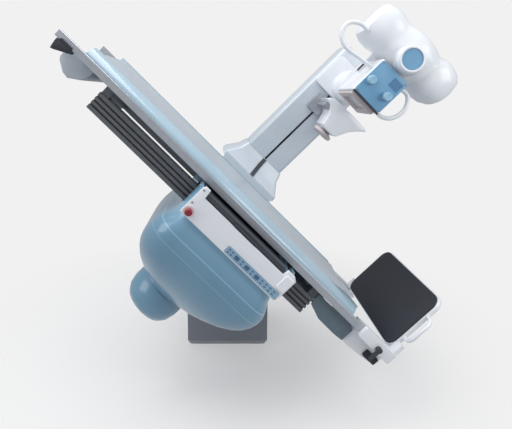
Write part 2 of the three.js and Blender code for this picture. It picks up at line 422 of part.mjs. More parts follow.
// Tabletop that shifts along the frame
const fairSec = [[-RAIL_IN, TOP_B0], [-PANEL_Y, TOP_B0], [-PANEL_Y, TOP_B1]];
for (let i = 1; i <= 8; i++) {
  const t = (1 - i / 8) * Math.PI / 2;
  fairSec.push([-PANEL_Y - (RAIL_IN - PANEL_Y) * Math.cos(t), RAIL_B1 + (TOP_B1 - RAIL_B1) * Math.sin(t)]);
}
add(tilt, "front_fairing", slab("x", fairSec, FAIR_A0, FAIR_A1, 2), PALE, 0.2);
add(tilt, "rear_fairing", slab("x", mirrorY(fairSec), FAIR_A0, FAIR_A1, 2), PALE, 0.2);
add(tilt, "table_top", slab("x", [[-PANEL_Y + GAP, TOP_B1 - 36], [PANEL_Y - GAP, TOP_B1 - 36],
  [PANEL_Y - GAP, TOP_B1 - 4], [160, TOP_B1 - 12], [-160, TOP_B1 - 12], [-PANEL_Y + GAP, TOP_B1 - 4]],
  FAIR_A0 + 14, FAIR_A1 + 30), GREY);
const railSec = [[-RAIL_OUT, TOP_B0 + 2], [-RAIL_OUT + 2, TOP_B0], [-RAIL_IN - GAP, TOP_B0], [-RAIL_IN - GAP, RAIL_B1],
  [-RAIL_OUT + 2, RAIL_B1], [-RAIL_OUT, RAIL_B1 - 2]];
add(tilt, "front_rail", slab("x", railSec, RAIL_A0, RAIL_A1), STEEL, 0.3);
add(tilt, "rear_rail", slab("x", mirrorY(railSec), RAIL_A0, RAIL_A1), STEEL, 0.3);
const hA = FAIR_A0 - 86, hB = TOP_B0 - GAP;
add(tilt, "head_end_bracket", slab("y", [[hA, hB - 61], [hA + 12, hB - 77], [hA + 58, hB - 107], [hA + 88, hB - 111],
  [hA + 140, hB - 75], [hA + 158, hB - 35], [hA + 158, hB], [hA + 18, hB], [hA, hB - 15]], -300, 300, 8), GREY);
const e1 = RAIL_A1 + 4, e0 = e1 - 212;
const endBlock = (y0, y1) => slab("y", [[e0, hB - 91], [e0 + 32, hB - 96], [e1 - 54, hB - 83], [e1 - 8, hB - 73],
  [e1, hB - 59], [e1, hB - 19], [e1 - 14, hB], [e0, hB]], y0, y1, 4);
const footBeam = box(e0 + 22, e0 + 52, -251, 251, hB - 65, hB - 8);
const railFoot = (y0, y1) => box(e0, e1 - 6, y0, y1, hB - 7, RAIL_B1 - 1);
add(tilt, "foot_end_block", join(endBlock(-316, -250), endBlock(250, 316), footBeam,
  railFoot(-RAIL_IN, -252), railFoot(252, RAIL_IN)), WHITE);
add(tilt, "end_bumper", slab("y", rounded(e1 - 92, e1 - 14, hB - 75, hB - 37, 6), -328, -316 - GAP, 2), BLACK);

// Footrest gripping both rails
const fa = FOOT_A;
const clamp = (s) => {
  const y0 = s < 0 ? -382 : RAIL_OUT + GAP, y1 = s < 0 ? -RAIL_OUT - GAP : 382;
  return join(slab("y", rounded(fa - 177, fa + 27, TOP_B0 - 12, RAIL_B1 + 12, 9), y0, y1, 3),
    box(fa - 155, fa + 23, s < 0 ? -RAIL_OUT - 2 : RAIL_IN + 2, s < 0 ? -RAIL_IN - 2 : RAIL_OUT + 2, RAIL_B1 + GAP, RAIL_B1 + 12),
    box(fa + 4, fa + 23, s < 0 ? -380 : FOOT_HALF - 14, s < 0 ? 14 - FOOT_HALF : 380, RAIL_B1 + 2, FOOT_B0 + 60));
};
const footPts = rounded(-FOOT_HALF, FOOT_HALF, FOOT_B0, FOOT_B1, 60, 6);
add(tilt, "footrest_frame", join(slab("x", footPts, fa, fa + 24, 6), clamp(-1), clamp(1)), WHITE);
add(tilt, "footrest_mat", slab("x", rounded(-FOOT_HALF + 6, FOOT_HALF - 6, FOOT_B0 + 6, FOOT_B1 - 6, 54, 6),
  fa - 9, fa - GAP, 2), BLACK, 0.85);
const fh = FOOT_HALF, fm = (FOOT_B0 + FOOT_B1) / 2 - 8;
add(tilt, "footrest_handle", cut(bar([[fa + 12, 20 - fh, fm + 74], [fa + 12, -fh - 28, fm + 70],
  [fa + 8, -fh - 50, fm + 46], [fa + 2, -fh - 56, fm], [fa + 8, -fh - 50, fm - 46], [fa + 12, -fh - 28, fm - 70],
  [fa + 12, 20 - fh, fm - 74]], 9), box(fa - 30, fa + 60, -fh - GAP, 0, fm - 120, fm + 120)), WHITE);
const leverA = fa - 65, leverB = TOP_B0 + 11;
add(tilt, "clamp_lever", join(rod("y", leverA, leverB, 14, -402, -382 - GAP, 24),
  slab("y", rounded(leverA - 8, leverA + 8, leverB - 66, leverB + 4, 7), -402, -390)), BLACK);

// Hand grip hooked on the front rail near the head end
const g0 = RAIL_A0 + 19, g1 = RAIL_A0 + 109, under = TOP_B0 - GAP;
add(tilt, "hand_grip", join(
  slab("y", [[g0, under - 16], [g0 + 6, under - 52], [g0 + 20, under - 48], [g1, under - 11], [g1, under],
    [g0, under]], -RAIL_OUT - 14, -334, 5),
  box(g0 + 14, g1 - 14, -RAIL_OUT - 10, -RAIL_OUT - GAP, under - 12, TOP_B0 + 12),
), BLACK, 0.7);

root.add(tilt);
export default root;
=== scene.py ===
"""Looks of a tilting radiography table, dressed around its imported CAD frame."""

from __future__ import annotations

import json
import logging
import math
from dataclasses import dataclass, field
from enum import Enum

import bmesh
import bpy
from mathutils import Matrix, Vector

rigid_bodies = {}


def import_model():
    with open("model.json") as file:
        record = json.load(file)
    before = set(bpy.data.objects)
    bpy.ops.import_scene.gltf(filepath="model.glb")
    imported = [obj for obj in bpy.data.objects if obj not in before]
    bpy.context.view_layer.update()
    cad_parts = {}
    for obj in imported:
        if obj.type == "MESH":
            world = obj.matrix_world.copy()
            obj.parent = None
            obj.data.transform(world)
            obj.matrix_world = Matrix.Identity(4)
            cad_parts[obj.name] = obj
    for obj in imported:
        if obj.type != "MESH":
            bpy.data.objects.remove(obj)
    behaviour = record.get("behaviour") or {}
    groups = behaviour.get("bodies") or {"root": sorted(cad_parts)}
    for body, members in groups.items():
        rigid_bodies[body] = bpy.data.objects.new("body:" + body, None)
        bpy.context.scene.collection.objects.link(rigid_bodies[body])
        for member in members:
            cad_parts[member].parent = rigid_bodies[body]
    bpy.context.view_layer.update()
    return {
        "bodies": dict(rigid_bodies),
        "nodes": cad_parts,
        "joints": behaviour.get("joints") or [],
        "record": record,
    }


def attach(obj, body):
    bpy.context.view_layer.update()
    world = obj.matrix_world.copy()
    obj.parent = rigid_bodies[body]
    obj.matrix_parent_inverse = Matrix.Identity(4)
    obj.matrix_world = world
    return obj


LOG = logging.getLogger("radiography_table")
MM = 0.001

Colour = tuple[float, float, float]


@dataclass(frozen=True)
class TableAxes:
    """Axes of the tilted table at rest: along it, across it and up from it, in millimetres."""

    pivot_height: float = 855.0
    centre_depth: float = -630.0
    tilt_deg: float = 45.0

    @property
    def along(self) -> Vector:
        """Unit vector toward the foot end."""
        t = math.radians(self.tilt_deg)
        return Vector((math.cos(t), 0.0, -math.sin(t)))

    @property
    def up(self) -> Vector:
        """Unit vector square to the tabletop."""
        t = math.radians(self.tilt_deg)
        return Vector((math.sin(t), 0.0, math.cos(t)))

    def point(self, a: float, y: float, b: float) -> Vector:
        """A point of the table in the row frame.

        Args:
            a: distance along the table from the pivot, in millimetres.
            y: distance across, away from the viewer.
            b: height above the pivot, square to the tabletop.

        Returns:
            The point in metres.
        """
        at = self.along * a + self.up * b
        return Vector((at.x, y + self.centre_depth, at.z + self.pivot_height)) * MM


AXES = TableAxes()
TO_VIEWER = Vector((0, -1, 0))
AWAY = Vector((0, 1, 0))


@dataclass(frozen=True)
class HighlightBand:
    """A painted highlight: a lighter band of a surface, parallel to the tabletop.

    Attributes:
        height: its middle above the pivot, in millimetres.
        half_width: half its width, in millimetres.
        strength: how far it lightens the colour.
    """

    height: float
    half_width: float
    strength: float


@dataclass(frozen=True)
class Finish:
    """One surface finish and the amounts that its shader needs.

    Attributes:
        name: material name.
        colour: main colour, linear.
        shade: second colour that the broad variation mixes in.
        roughness: middle roughness.
        grain: grain cells per metre.
        bump: height of the grain.
        wear: strength of the worn edges.
        coat: clear coat weight.
        slot: name of a record material slot for new pieces; not used.
        highlight_bands: painted highlights, lighter bands parallel to the tabletop.
        brushed: whether it is bare metal, with its grain drawn out along the table.
    """

    name: str
    colour: Colour
    shade: Colour
    roughness: float
    grain: float
    bump: float
    wear: float
    coat: float
    slot: str
    highlight_bands: tuple[HighlightBand, ...] = ()
    brushed: bool = False


def srgb(r: float, g: float, b: float) -> Colour:
    """Linear colour of an 8-bit display colour."""
    def one(c: float) -> float:
        """One channel."""
        c /= 255.0
        return c / 12.92 if c <= 0.04045 else ((c + 0.055) / 1.055) ** 2.4
    return (one(r), one(g), one(b))


FINISHES: dict[str, Finish] = {f.name: f for f in (
    Finish("pod_gloss", srgb(116, 158, 182), srgb(98, 138, 164),
           0.27, 700, 0.02, 0.25, 0.6, "blue_shell",
           # painted highlights: two narrow ones along the pod front's creases and a broad weaker one across
           # its middle
           (HighlightBand(-40.0, 4.5, 0.9), HighlightBand(-100.0, 3.5, 0.55), HighlightBand(60.0, 110.0, 0.45))),
    Finish("fairing_gloss", srgb(176, 199, 212), srgb(150, 176, 192),
           0.22, 700, 0.02, 0.2, 0.6, "blue_shell"),
    Finish("white_moulding", srgb(232, 234, 238), srgb(218, 222, 229),
           0.36, 1200, 0.03, 0.2, 0.25, "white_shell"),
    Finish("white_gloss", srgb(235, 238, 242), srgb(225, 229, 235),
           0.3, 1100, 0.02, 0.15, 0.35, "white_shell"),
    Finish("strip_film", srgb(140, 174, 196), srgb(126, 160, 184),
           0.42, 1500, 0.03, 0.2, 0.1, "blue_panel"),
    Finish("key_mark", srgb(72, 106, 138), srgb(60, 92, 124),
           0.5, 1500, 0.03, 0.2, 0.0, "blue_panel"),
    Finish("knob_blue", srgb(150, 192, 214), srgb(134, 178, 202),
           0.32, 1000, 0.02, 0.25, 0.3, "white_shell"),
    Finish("pale_enamel", srgb(204, 212, 220), srgb(188, 198, 208),
           0.34, 1500, 0.03, 0.25, 0.3, "pale_paint"),
    Finish("dark_enamel", srgb(124, 128, 136), srgb(110, 114, 122),
           0.48, 1600, 0.06, 0.45, 0.0, "dark_paint"),
    Finish("beam_enamel", srgb(84, 87, 92), srgb(62, 64, 69),
           0.42, 1500, 0.05, 0.5, 0.0, "dark_paint"),
    Finish("mast_enamel", srgb(70, 74, 80), srgb(54, 57, 62),
           0.5, 1500, 0.04, 0.3, 0.0, "rail_metal"),
    Finish("slate_enamel", srgb(92, 108, 119), srgb(76, 90, 100),
           0.45, 1500, 0.05, 0.35, 0.0, "teal_paint"),
    Finish("rail_alloy", srgb(196, 200, 206), srgb(168, 173, 180),
           0.34, 260, 0.05, 0.35, 0.0, "rail_metal", brushed=True),
    Finish("machined_steel", srgb(170, 172, 176), srgb(140, 143, 148),
           0.38, 320, 0.06, 0.4, 0.0, "bare_steel", brushed=True),
    Finish("cast_bronze", srgb(176, 146, 92), srgb(140, 112, 64),
           0.45, 240, 0.08, 0.4, 0.0, "bronze", brushed=True),
    Finish("top_laminate", srgb(178, 187, 194), srgb(160, 169, 178),
           0.42, 520, 0.03, 0.15, 0.15, "carbon_top"),
    Finish("black_rubber", srgb(36, 40, 50), srgb(28, 31, 39),
           0.62, 420, 0.16, 0.3, 0.0, "black_rubber"),
    Finish("dark_plastic", srgb(58, 62, 70), srgb(46, 50, 57),
           0.5, 1300, 0.08, 0.3, 0.0, "dark_plastic"),
    Finish("panel_film", srgb(112, 162, 196), srgb(98, 147, 182),
           0.45, 1500, 0.03, 0.2, 0.0, "blue_panel"),
    Finish("stop_red", srgb(146, 24, 46), srgb(120, 16, 36),
           0.32, 900, 0.02, 0.2, 0.3, "red_cap"),
    Finish("display_dark", srgb(88, 132, 170), srgb(76, 118, 156),
           0.2, 1600, 0.01, 0.05, 0.4, "display_glass"),
    Finish("badge_plain", srgb(112, 162, 196), srgb(98, 146, 180),
           0.3, 900, 0.02, 0.2, 0.3, "badge_blue"),
    Finish("warm_plastic", srgb(200, 190, 190), srgb(182, 172, 172),
           0.5, 1200, 0.05, 0.25, 0.0, "window_grey"),
    Finish("collar_pink", srgb(226, 205, 208), srgb(206, 184, 188),
           0.42, 1200, 0.03, 0.2, 0.1, "white_shell"),
)}

NODE_FINISH: dict[str, tuple[str, ...]] = {
    "dark_enamel": ("pedestal_cover", "front_bearing", "rear_bearing"),
    "beam_enamel": ("front_beam", "rear_beam", "head_cross_member", "foot_cross_member"),
    "machined_steel": ("floor_plate", "pedestal_frame", "tilt_motor", "trunnion_shaft", "tilt_plate",
                       "travel_rack", "image_tube"),
    "cast_bronze": ("worm_wheel",),
    "slate_enamel": ("foot_side_plate_front", "foot_side_plate_rear"),
    "pod_gloss": ("pod_shell", "camera_cover"),
    "fairing_gloss": ("front_fairing", "rear_fairing"),
    "white_moulding": ("front_panel", "footrest_frame", "footrest_handle"),
    "white_gloss": ("head_arm", "head_yoke", "tube_cover", "collimator_body", "handle_left", "handle_right",
                    "compressor_arm", "foot_end_block"),
    "knob_blue": ("field_knob_1", "field_knob_2"),
    "strip_film": ("key_strip",),
    "key_mark": ("key_1", "key_2", "key_3"),
    "pale_enamel": ("column_base", "column_shell", "carriage_frame"),
    "mast_enamel": ("column_mast",),
    "rail_alloy": ("front_rail", "rear_rail", "compressor_carriage"),
    "top_laminate": ("table_top", "head_end_bracket"),
    "black_rubber": ("end_bumper", "footrest_mat", "hand_grip"),
    "dark_plastic": ("cassette_tray", "clamp_lever"),
    "panel_film": ("collimator_panel",),
    "stop_red": ("estop_button",),
    "display_dark": ("collimator_display",),
    "badge_plain": ("badge_disc",),
    "warm_plastic": ("beam_window", "compressor_pad"),
    "collar_pink": ("estop_collar",),
}


class ShaderGroups:
    """Node groups that the materials share."""

    def __init__(self) -> None:
        """Builds the groups once."""
        self.grain = self._grain()
        self.wear = self._wear()
        # mask of the painted highlight bands
        self.level = self._highlight_line()

    @staticmethod
    def _new(name: str, inputs: dict[str, float], outputs: tuple[str, ...]) -> bpy.types.NodeTree:
        """An empty shader group with float sockets.

        Args:
            name: group name.
            inputs: socket name to default value.
            outputs: names of the output sockets.

        Returns:
            The group.
        """
        tree = bpy.data.node_groups.new(name, "ShaderNodeTree")
        for key, value in inputs.items():
            socket = tree.interface.new_socket(key, in_out="INPUT", socket_type="NodeSocketFloat")
            socket.default_value = value
        for key in outputs:
            tree.interface.new_socket(key, in_out="OUTPUT", socket_type="NodeSocketFloat")
        return tree

    def _grain(self) -> bpy.types.NodeTree:
        """Fine grain for bump and roughness, with a broad drift for colour.

        Returns:
            The group, with outputs Fine and Broad.
        """
        tree = self._new("surface_grain", {"Cells": 900.0, "Stretch": 1.0}, ("Fine", "Broad"))
        n, link = tree.nodes, tree.links.new
        inp, out = n.new("NodeGroupInput"), n.new("NodeGroupOutput")
        coords = n.new("ShaderNodeTexCoord")
        turn = n.new("ShaderNodeMapping")
        turn.inputs["Rotation"].default_value = (0.0, -math.radians(AXES.tilt_deg), 0.0)
        link(coords.outputs["Object"], turn.inputs["Vector"])
        squeeze = n.new("ShaderNodeCombineXYZ")
        link(inp.outputs["Stretch"], squeeze.inputs["X"])
        squeeze.inputs["Y"].default_value = 1.0
        squeeze.inputs["Z"].default_value = 1.0
        scaled = n.new("ShaderNodeVectorMath")
        scaled.operation = "MULTIPLY"
        link(turn.outputs["Vector"], scaled.inputs[0])
        link(squeeze.outputs["Vector"], scaled.inputs[1])
        fine = n.new("ShaderNodeTexNoise")
        fine.inputs["Detail"].default_value = 3.0
        link(scaled.outputs["Vector"], fine.inputs["Vector"])
        link(inp.outputs["Cells"], fine.inputs["Scale"])
        broad = n.new("ShaderNodeTexNoise")
        broad.inputs["Scale"].default_value = 3.2
        broad.inputs["Detail"].default_value = 2.0
        link(coords.outputs["Object"], broad.inputs["Vector"])
        link(fine.outputs["Fac"], out.inputs["Fine"])
        link(broad.outputs["Fac"], out.inputs["Broad"])
        return tree

    def _wear(self) -> bpy.types.NodeTree:
        """Rubbed edges, broken up by noise.

        Returns:
            The group, with output Mask.
        """
        tree = self._new("edge_wear", {"Amount": 0.3}, ("Mask",))
        n, link = tree.nodes, tree.links.new
        inp, out = n.new("NodeGroupInput"), n.new("NodeGroupOutput")
        geometry = n.new("ShaderNodeNewGeometry")
        ridge = n.new("ShaderNodeMapRange")
        ridge.inputs["From Min"].default_value = 0.53
        ridge.inputs["From Max"].default_value = 0.64
        link(geometry.outputs["Pointiness"], ridge.inputs["Value"])
        coords = n.new("ShaderNodeTexCoord")
        noise = n.new("ShaderNodeTexNoise")
        noise.inputs["Scale"].default_value = 45.0
        noise.inputs["Detail"].default_value = 4.0
        link(coords.outputs["Object"], noise.inputs["Vector"])
        broken = n.new("ShaderNodeMath")
        broken.operation = "MULTIPLY"
        link(ridge.outputs["Result"], broken.inputs[0])
        link(noise.outputs["Fac"], broken.inputs[1])
        amount = n.new("ShaderNodeMath")
        amount.operation = "MULTIPLY"
        amount.use_clamp = True
        link(broken.outputs["Value"], amount.inputs[0])
        link(inp.outputs["Amount"], amount.inputs[1])
        link(amount.outputs["Value"], out.inputs["Mask"])
        return tree

    def _highlight_line(self) -> bpy.types.NodeTree:
        """A soft line at one height above the pivot, parallel to the tabletop: the mask of a painted
        highlight band.

        Returns:
            The group, with output Mask.
        """
        tree = self._new("level_line", {"Height": 0.0, "Half Width": 0.004, "Strength": 1.0}, ("Mask",))
        n, link = tree.nodes, tree.links.new
        inp, out = n.new("NodeGroupInput"), n.new("NodeGroupOutput")
        coords = n.new("ShaderNodeTexCoord")
        height = n.new("ShaderNodeVectorMath")
        height.operation = "DOT_PRODUCT"
        height.inputs[1].default_value = AXES.up
        link(coords.outputs["Object"], height.inputs[0])
        above = n.new("ShaderNodeMath")
        above.operation = "SUBTRACT"
        above.inputs[1].default_value = AXES.up.z * AXES.pivot_height * MM
        link(height.outputs["Value"], above.inputs[0])
        away = n.new("ShaderNodeMath")
        away.operation = "SUBTRACT"
        link(above.outputs["Value"], away.inputs[0])
        link(inp.outputs["Height"], away.inputs[1])
        size = n.new("ShaderNodeMath")
        size.operation = "ABSOLUTE"
        link(away.outputs["Value"], size.inputs[0])
        line = n.new("ShaderNodeMapRange")
        line.interpolation_type = "SMOOTHSTEP"
        line.inputs["To Max"].default_value = 0.0
        link(inp.outputs["Strength"], line.inputs["To Min"])
        link(size.outputs["Value"], line.inputs["Value"])
        link(inp.outputs["Half Width"], line.inputs["From Max"])
        link(line.outputs["Result"], out.inputs["Mask"])
        return tree


@dataclass
class Paintshop:
    """Makes each finish's material once and hands it out."""

    groups: ShaderGroups = field(default_factory=ShaderGroups)
    brush_stretch: float = 0.04
    brush_metallic: float = 0.85
    rough_spread: float = 0.07
    rough_least: float = 0.05
    grain_depth: float = 0.001
    coat_roughness: float = 0.12
    light_gain: float = 1.35
    light_lift: float = 0.05
    made: dict[str, bpy.types.Material] = field(default_factory=dict)

    def material(self, name: str) -> bpy.types.Material:
        """The material of a finish.

        Args:
            name: key in FINISHES.

        Returns:
            The material, built on first use.
        """
        if name not in self.made:
            self.made[name] = self._build(FINISHES[name])
        return self.made[name]

    def _build(self, spec: Finish) -> bpy.types.Material:
        """Node material of one finish.

        Args:
            spec: the finish.

        Returns:
            A new material.
        """
        mat = bpy.data.materials.new(spec.name)
        mat.use_nodes = True
        tree = mat.node_tree
        n, link = tree.nodes, tree.links.new
        shader = n["Principled BSDF"]
        grain = n.new("ShaderNodeGroup")
        grain.node_tree = self.groups.grain
        grain.inputs["Cells"].default_value = spec.grain
        grain.inputs["Stretch"].default_value = self.brush_stretch if spec.brushed else 1.0
        wear = n.new("ShaderNodeGroup")
        wear.node_tree = self.groups.wear
        wear.inputs["Amount"].default_value = spec.wear
        base = n.new("ShaderNodeMix")
        base.data_type = "RGBA"
        base.inputs["A"].default_value = (*spec.colour, 1.0)
        base.inputs["B"].default_value = (*spec.shade, 1.0)
        link(grain.outputs["Broad"], base.inputs["Factor"])
        rubbed = n.new("ShaderNodeMix")
        rubbed.data_type = "RGBA"
        # lightened colour, used for the rubbed edges and for the painted highlight bands
        light = tuple(min(1.0, c * self.light_gain + self.light_lift) for c in spec.colour)
        rubbed.inputs["B"].default_value = (*light, 1.0)
        link(base.outputs["Result"], rubbed.inputs["A"])
        link(wear.outputs["Mask"], rubbed.inputs["Factor"])
        last = rubbed
        # painted highlights: each band mixes the lightened colour in along a line parallel to the tabletop
        for band in spec.highlight_bands:
            line = n.new("ShaderNodeGroup")
            line.node_tree = self.groups.level
            line.inputs["Height"].default_value = band.height * MM
            line.inputs["Half Width"].default_value = band.half_width * MM
            line.inputs["Strength"].default_value = band.strength
            lit = n.new("ShaderNodeMix")
            lit.data_type = "RGBA"
            lit.inputs["B"].default_value = (*light, 1.0)
            link(last.outputs["Result"], lit.inputs["A"])
            link(line.outputs["Mask"], lit.inputs["Factor"])
            last = lit
        link(last.outputs["Result"], shader.inputs["Base Color"])
        rough = n.new("ShaderNodeMapRange")
        rough.inputs["To Min"].default_value = max(self.rough_least, spec.roughness - self.rough_spread)
        rough.inputs["To Max"].default_value = spec.roughness + self.rough_spread
        link(grain.outputs["Fine"], rough.inputs["Value"])
        link(rough.outputs["Result"], shader.inputs["Roughness"])
        bump = n.new("ShaderNodeBump")
        bump.inputs["Strength"].default_value = spec.bump
        bump.inputs["Distance"].default_value = self.grain_depth
        link(grain.outputs["Fine"], bump.inputs["Height"])
        link(bump.outputs["Normal"], shader.inputs["Normal"])
        shader.inputs["Metallic"].default_value = self.brush_metallic if spec.brushed else 0.0
        shader.inputs["Coat Weight"].default_value = spec.coat
        shader.inputs["Coat Roughness"].default_value = self.coat_roughness
        return mat


class EdgeSmoother:
    """Modifier that joins a CAD node's triangles and smooths all but its sharp edges."""

    def __init__(self, limit_deg: float = 32.0) -> None:
        """Builds the node tree.

        Args:
            limit_deg: edges that bend more stay sharp.
        """
        tree = bpy.data.node_groups.new("smooth_moulding", "GeometryNodeTree")
        tree.interface.new_socket("Geometry", in_out="INPUT", socket_type="NodeSocketGeometry")
        angle = tree.interface.new_socket("Sharp angle", in_out="INPUT", socket_type="NodeSocketFloat")
        angle.default_value = math.radians(limit_deg)
        tree.interface.new_socket("Geometry", in_out="OUTPUT", socket_type="NodeSocketGeometry")
        n, link = tree.nodes, tree.links.new
        inp, out = n.new("NodeGroupInput"), n.new("NodeGroupOutput")
        merge = n.new("GeometryNodeMergeByDistance")
        merge.inputs["Distance"].default_value = 2e-5
        faces = n.new("GeometryNodeSetShadeSmooth")
        edges = n.new("GeometryNodeSetShadeSmooth")
        edges.domain = "EDGE"
        edges.inputs["Shade Smooth"].default_value = False
        bend = n.new("GeometryNodeInputMeshEdgeAngle")
        sharp = n.new("FunctionNodeCompare")
        sharp.data_type = "FLOAT"
        sharp.operation = "GREATER_THAN"
        link(inp.outputs["Geometry"], merge.inputs["Geometry"])
        link(merge.outputs["Geometry"], faces.inputs["Geometry"])
        link(faces.outputs["Geometry"], edges.inputs["Geometry"])
        link(bend.outputs["Unsigned Angle"], sharp.inputs[0])
        link(inp.outputs["Sharp angle"], sharp.inputs[1])
        link(sharp.outputs["Result"], edges.inputs["Selection"])
        link(edges.outputs["Geometry"], out.inputs["Geometry"])
        self.tree = tree

    def apply_to(self, obj: bpy.types.Object) -> None:
        """Adds the modifier to a CAD node."""
        modifier = obj.modifiers.new("smooth_moulding", "NODES")
        modifier.node_group = self.tree


def loop_faces(bm: bmesh.types.BMesh, loops: list[list[bmesh.types.BMVert]], closed: bool = False) -> None:
    """Joins rings of equal count with quads, and caps the ends of an open stack.

    Args:
        bm: the mesh.
        loops: the rings in order.
        closed: whether the last ring joins the first one.
    """
    count = len(loops[0])
    pairs = list(zip(loops, loops[1:] + loops[:1])) if closed else list(zip(loops, loops[1:]))
    for low, high in pairs:
        for i in range(count):
            bm.faces.new((low[i], low[(i + 1) % count], high[(i + 1) % count], high[i]))
    if not closed:
        bm.faces.new(list(reversed(loops[0])))
        bm.faces.new(loops[-1])


class StampShape(Enum):
    """Small repeated shapes, one unit across, standing on their seat along +Z."""

    SCREW = "screw_head"
    TILE = "soft_tile"


class StampSetter:
    """Sets small repeated shapes on points with one Geometry Nodes tree."""

    def __init__(self, paint: Paintshop) -> None:
        """Builds the shapes and the tree.

        Args:
            paint: gives the materials.
        """
        self.paint = paint
        self.shapes = {StampShape.SCREW: self._screw(), StampShape.TILE: self._tile()}
        self.sockets: dict[str, str] = {}
        self.tree = self._tree()

    @staticmethod
    def _hidden(name: str, bm: bmesh.types.BMesh) -> bpy.types.Object:
        """An object outside the scene for the tree to instance.

        Args:
            name: its name.
            bm: its mesh, freed here.

        Returns:
            The object.
        """
        bmesh.ops.recalc_face_normals(bm, faces=bm.faces)
        mesh = bpy.data.meshes.new(name)
        bm.to_mesh(mesh)
        bm.free()
        return bpy.data.objects.new(name, mesh)

    def _screw(self) -> bpy.types.Object:
        """A pan head with a cross slot.

        Returns:
            The hidden object.
        """
        bm = bmesh.new()
        turns = 16
        rings = ((0.5, 0.0), (0.5, 0.18), (0.4, 0.31), (0.21, 0.37))
        loops = [[bm.verts.new((radius * math.cos(t), radius * math.sin(t), height))
                  for t in (2 * math.pi * i / turns for i in range(turns))] for radius, height in rings]
        arms = [(v.co, 0.95 if i % 4 == 0 else 0.3) for i, v in enumerate(loops[-1])]
        loops.append([bm.verts.new((at.x * reach, at.y * reach, 0.2)) for at, reach in arms])
        loop_faces(bm, loops)
        return self._hidden(StampShape.SCREW.value, bm)

    def _tile(self) -> bpy.types.Object:
        """A flat tile with cut corners and a softened top.

        Returns:
            The hidden object.
        """
        bm = bmesh.new()
        low_side = ((-0.5, -0.3), (-0.38, -0.5), (0.38, -0.5), (0.5, -0.3))
        corner = low_side + tuple((-x, -y) for x, y in low_side)
        loops = [[bm.verts.new((x * grow, y * grow, z)) for x, y in corner]
                 for grow, z in ((1.0, 0.0), (1.0, 0.7), (0.9, 1.0))]
        loop_faces(bm, loops)
        return self._hidden(StampShape.TILE.value, bm)

    def _tree(self) -> bpy.types.NodeTree:
        """Instances a shape on each point, turned by the point's facing and leaning attributes.

        Returns:
            The node tree.
        """
        tree = bpy.data.node_groups.new("stamp_rows", "GeometryNodeTree")
        tree.interface.new_socket("Geometry", in_out="INPUT", socket_type="NodeSocketGeometry")
        kinds = {"Shape": "NodeSocketObject", "Size": "NodeSocketVector", "Finish": "NodeSocketMaterial"}
        for key, kind in kinds.items():
            self.sockets[key] = tree.interface.new_socket(key, in_out="INPUT", socket_type=kind).identifier
        tree.interface.new_socket("Geometry", in_out="OUTPUT", socket_type="NodeSocketGeometry")
        n, link = tree.nodes, tree.links.new
        inp, out = n.new("NodeGroupInput"), n.new("NodeGroupOutput")
        shape = n.new("GeometryNodeObjectInfo")
        turns = []
        for name, axis in (("facing", "Z"), ("leaning", "X")):
            way = n.new("GeometryNodeInputNamedAttribute")
            way.data_type = "FLOAT_VECTOR"
            way.inputs["Name"].default_value = name
            turn = n.new("FunctionNodeAlignRotationToVector")
            turn.axis = axis
            link(way.outputs["Attribute"], turn.inputs["Vector"])
            turns.append(turn)
        turns[1].pivot_axis = "Z"
        place = n.new("GeometryNodeInstanceOnPoints")
        real = n.new("GeometryNodeRealizeInstances")
        colour = n.new("GeometryNodeSetMaterial")
        link(inp.outputs["Shape"], shape.inputs["Object"])
        link(turns[0].outputs["Rotation"], turns[1].inputs["Rotation"])
        link(inp.outputs["Geometry"], place.inputs["Points"])
        link(shape.outputs["Geometry"], place.inputs["Instance"])
        link(turns[1].outputs["Rotation"], place.inputs["Rotation"])
        link(inp.outputs["Size"], place.inputs["Scale"])
        link(place.outputs["Instances"], real.inputs["Geometry"])
        link(inp.outputs["Finish"], colour.inputs["Material"])
        link(real.outputs["Geometry"], colour.inputs["Geometry"])
        link(colour.outputs["Geometry"], out.inputs["Geometry"])
        return tree

    def set_row(self, name: str, body: str, row: StampRow) -> bpy.types.Object:
        """Stamps on one body, turned into a plain mesh.

        Args:
            name: piece name.
            body: CAD body that carries them.
            row: where they sit and what they are.

        Returns:
            The finished piece.
        """
        mesh = bpy.data.meshes.new(name)
        mesh.from_pydata([tuple(p) for p in row.points], [], [])
        level = AXES.along if abs(row.facing.y) > 0.5 else AWAY
        leanings = row.leanings or [level] * len(row.points)
        for key, ways in (("facing", [row.facing] * len(row.points)), ("leaning", leanings)):
            attribute = mesh.attributes.new(key, "FLOAT_VECTOR", "POINT")
            for item, way in zip(attribute.data, ways):
                item.vector = way
        obj = bpy.data.objects.new(name, mesh)
        bpy.context.scene.collection.objects.link(obj)
        modifier = obj.modifiers.new("stamp_rows", "NODES")
        modifier.node_group = self.tree
        modifier[self.sockets["Shape"]] = self.shapes[row.shape]
        modifier[self.sockets["Size"]] = row.size
        modifier[self.sockets["Finish"]] = self.paint.material(row.finish)
        bake(obj)
        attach(obj, body)
        LOG.info("%s: %d stamps on %s", name, len(row.points), body)
        return obj


@dataclass(frozen=True)
class StampRow:
    """A row of equal stamps.

    Attributes:
        points: seats, in metres.
        facing: the way that they look.
        size: width, length and height, in metres.
        shape: what is stamped.
        finish: key in FINISHES.
        leanings: the way that each one's width runs, if not along the table.
    """

    points: list[Vector]
    facing: Vector
    size: tuple[float, float, float]
    shape: StampShape = StampShape.SCREW
    finish: str = "machined_steel"
    leanings: list[Vector] | None = None


def bake(obj: bpy.types.Object) -> None:
    """Turns an object's evaluated geometry into its plain mesh.

    Args:
        obj: the object, whose modifiers are then removed.
    """
    graph = bpy.context.evaluated_depsgraph_get()
    mesh = bpy.data.meshes.new_from_object(obj.evaluated_get(graph))
    obj.modifiers.clear()
    obj.data = mesh


